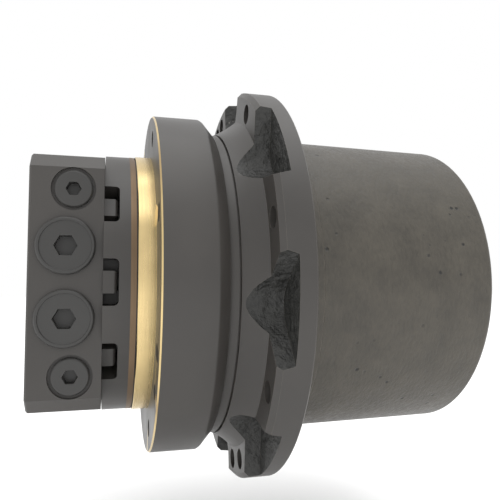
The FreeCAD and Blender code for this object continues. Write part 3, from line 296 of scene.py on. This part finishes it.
wornBand = bareMetal("wornBrownBand", (0.2, 0.14, 0.09), 0.45, tint=(0.1, 0.07, 0.05))
# lighter paint for the gear case's rounded edges: partly wear, partly a painted highlight where the edges
# catch the light
edgeWearAndHighlight = satinPaint("edgeWearAndHighlight", (0.17, 0.155, 0.13), 0.4)
slotOf = {entry["node"]: entry["material_slot"] for entry in frame["record"]["subparts"]}
for nodeName, nodeObject in frame["nodes"].items():
    for materialSlot in nodeObject.material_slots:
        materialSlot.material = finishes[slotOf[nodeName]]
print("materials set")

# pieces


sharpFrom = 35  # degrees between faces


# makes an object of the mesh, smooth but for its sharp edges
def addPiece(name, bm, materials, body):
    mesh = bpy.data.meshes.new(name)
    for face in bm.faces:
        face.smooth = True
    for edge in bm.edges:
        closed = len(edge.link_faces) == 2
        edge.smooth = closed and edge.calc_face_angle() < math.radians(sharpFrom)
    bm.to_mesh(mesh)
    bm.free()
    for material in materials:
        mesh.materials.append(material)
    piece = bpy.data.objects.new(name, mesh)
    bpy.context.collection.objects.link(piece)
    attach(piece, body)
    return piece


roundLook = {"segments": 2, "angle": 30}
ownMaterial = -1  # the rounded edge keeps its neighbours' material


def roundEdges(piece, width, edgeMaterial=ownMaterial):
    soft = piece.modifiers.new("roundedEdges", "BEVEL")
    soft.width = width
    soft.segments = roundLook["segments"]
    soft.limit_method = "ANGLE"
    soft.angle_limit = math.radians(roundLook["angle"])
    soft.material = edgeMaterial
    soft.harden_normals = True
    soft.use_clamp_overlap = True


mergeDistance = 1e-6
flatAngle = 0.3  # degrees


# a closed copy of a CAD node's mesh, without its flat subdivisions
def mergedCopy(nodeName):
    bm = bmesh.new()
    bm.from_mesh(frame["nodes"][nodeName].data)
    bmesh.ops.remove_doubles(bm, verts=bm.verts, dist=mergeDistance)
    bmesh.ops.dissolve_limit(bm, angle_limit=math.radians(flatAngle), verts=bm.verts,
                             edges=bm.edges)
    return bm


def radiusOf(point):
    return math.hypot(point.y, point.z)


# X of the bare pilot and frame face, and the radius that they lie outside of
motorCaseLook = {"pilotStart": -0.0115, "faceEnd": 0.0011, "boreRadius": 0.0955, "edge": 0.0005}


def makeMotorCase():
    bm = mergedCopy("motor_case")
    for face in bm.faces:
        centre = face.calc_center_median()
        bare = motorCaseLook["pilotStart"] < centre.x < motorCaseLook["faceEnd"]
        face.material_index = 1 if bare and radiusOf(centre) > motorCaseLook["boreRadius"] else 0
    piece = addPiece("motorCaseShell", bm, [finishes["satin_black_paint"], yellowMetal],
                     "fixed_side")
    roundEdges(piece, motorCaseLook["edge"])
    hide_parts("motor_case")


gearCaseLook = {
    "neckEnd": 0.0495, "floorStart": 0.0748, "floorEnd": 0.0752, "barrelStart": 0.0875,
    "pocketInner": 0.1176, "rim": 0.1495, "wallTurn": 0.4, "floorTurn": -0.9,
    "edge": 0.0007, "edgeSlot": 3,
}


def makeGearCase():
    bm = mergedCopy("gear_case")
    look = gearCaseLook
    for face in bm.faces:
        centre = face.calc_center_median()
        inPocket = (look["neckEnd"] < centre.x < look["floorEnd"]
                    and look["pocketInner"] < radiusOf(centre) < look["rim"])
        onWall = abs(face.normal.x) < look["wallTurn"]
        onFloor = centre.x > look["floorStart"] and face.normal.x < look["floorTurn"]
        if centre.x > look["barrelStart"]:
            face.material_index = 1
        elif inPocket and (onWall or onFloor):
            face.material_index = 2
    piece = addPiece("gearCaseShell", bm, [finishes["satin_black_paint"], castCase, pocketFinish, edgeWearAndHighlight],
                     "hub")
    # the rounded edges take the lighter edge paint, which is wear and painted highlight together
    roundEdges(piece, look["edge"], edgeMaterial=look["edgeSlot"])
    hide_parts("gear_case")


def makeEdgedCopy(name, nodeName, body, edge):
    slotName = slotOf[nodeName]
    piece = addPiece(name, mergedCopy(nodeName), [finishes[slotName]], body)
    roundEdges(piece, edge)
    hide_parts(nodeName)


# the bare band on the neck, a thin ring that the neck passes through
neckBandLook = {"start": -0.0158, "end": -0.0122, "radius": 0.09612, "inner": 0.0955,
                "steps": 192}


def makeNeckBand():
    look = neckBandLook
    bm = bmesh.new()
    corners = [(look["start"], look["inner"]), (look["start"], look["radius"]),
               (look["end"], look["radius"]), (look["end"], look["inner"])]
    verts = [bm.verts.new((x, -r, 0)) for x, r in corners]
    edges = [bm.edges.new((verts[i], verts[(i + 1) % len(verts)])) for i in range(len(verts))]
    bmesh.ops.spin(bm, geom=verts + edges, cent=(0, 0, 0), axis=(1, 0, 0), angle=math.tau,
                   steps=look["steps"], use_merge=True)
    bmesh.ops.recalc_face_normals(bm, faces=bm.faces)
    addPiece("neckBand", bm, [wornBand], "fixed_side")


makeMotorCase()
makeNeckBand()
makeGearCase()
for edgedCopy in (
    ("valveBlockBody", "valve_block", "fixed_side", 0.0006),
    ("largePlugs", "check_valve_plugs", "fixed_side", 0.0004),
    ("smallPlugs", "gallery_plugs", "fixed_side", 0.0004),
    ("spoolCaps", "spool_caps", "fixed_side", 0.0005),
    ("endCoverPlate", "end_cover", "hub", 0.0005),
    ("coverPlugs", "cover_plugs", "hub", 0.0004),
    ("coverSnapRing", "cover_circlip", "hub", 0.0003),
):
    makeEdgedCopy(*edgedCopy)
print("shells dressed")

# studio
studio = {
    "floorDrop": 0.06, "floorSize": 12.0, "floorColour": (0.93, 0.93, 0.93), "floorRoughness": 0.9,
    "worldLevel": 1.35, "seenLevel": 1.0,
}
overheadLight = {"place": (0.1, -0.2, 1.3), "target": (0.08, 0, 0), "width": 1.2, "power": 6}


def makeStudio():
    world = bpy.data.worlds.new("studio")
    bpy.context.scene.world = world
    world.use_nodes = True
    tree = world.node_tree
    tree.nodes.clear()
    output = tree.nodes.new("ShaderNodeOutputWorld")
    background = tree.nodes.new("ShaderNodeBackground")
    background.inputs["Color"].default_value = (1, 1, 1, 1)
    path = tree.nodes.new("ShaderNodeLightPath")
    seen = combine(tree, "MAXIMUM", path.outputs["Is Camera Ray"], path.outputs["Is Glossy Ray"])
    seen = combine(tree, "MAXIMUM", seen, path.outputs["Is Transmission Ray"])
    level = remap(tree, seen, 0, 1, studio["worldLevel"], studio["seenLevel"])
    tree.links.new(level, background.inputs["Strength"])
    tree.links.new(background.outputs["Background"], output.inputs["Surface"])
    low = cadBox[0][2] - studio["floorDrop"]
    mesh = bpy.data.meshes.new("floor")
    bm = bmesh.new()
    bmesh.ops.create_grid(bm, x_segments=1, y_segments=1, size=studio["floorSize"] / 2)
    bmesh.ops.translate(bm, verts=bm.verts, vec=(0, 0, low))
    bm.to_mesh(mesh)
    bm.free()
    floor = bpy.data.objects.new("floor", mesh)
    bpy.context.collection.objects.link(floor)
    material, tree, shader = newMaterial("floorWhite")
    shader.inputs["Base Color"].default_value = (*studio["floorColour"], 1)
    shader.inputs["Roughness"].default_value = studio["floorRoughness"]
    shader.inputs["Specular IOR Level"].default_value = 0.0
    mesh.materials.append(material)


def softBox(name, place, target, width, power):
    data = bpy.data.lights.new(name, "AREA")
    data.shape = "SQUARE"
    data.size = width
    data.energy = power
    lamp = bpy.data.objects.new(name, data)
    bpy.context.collection.objects.link(lamp)
    lamp.location = place
    lamp.rotation_euler = (Vector(target) - Vector(place)).to_track_quat("-Z", "Y").to_euler()


makeStudio()
softBox("overhead", **overheadLight)
print("studio lit")
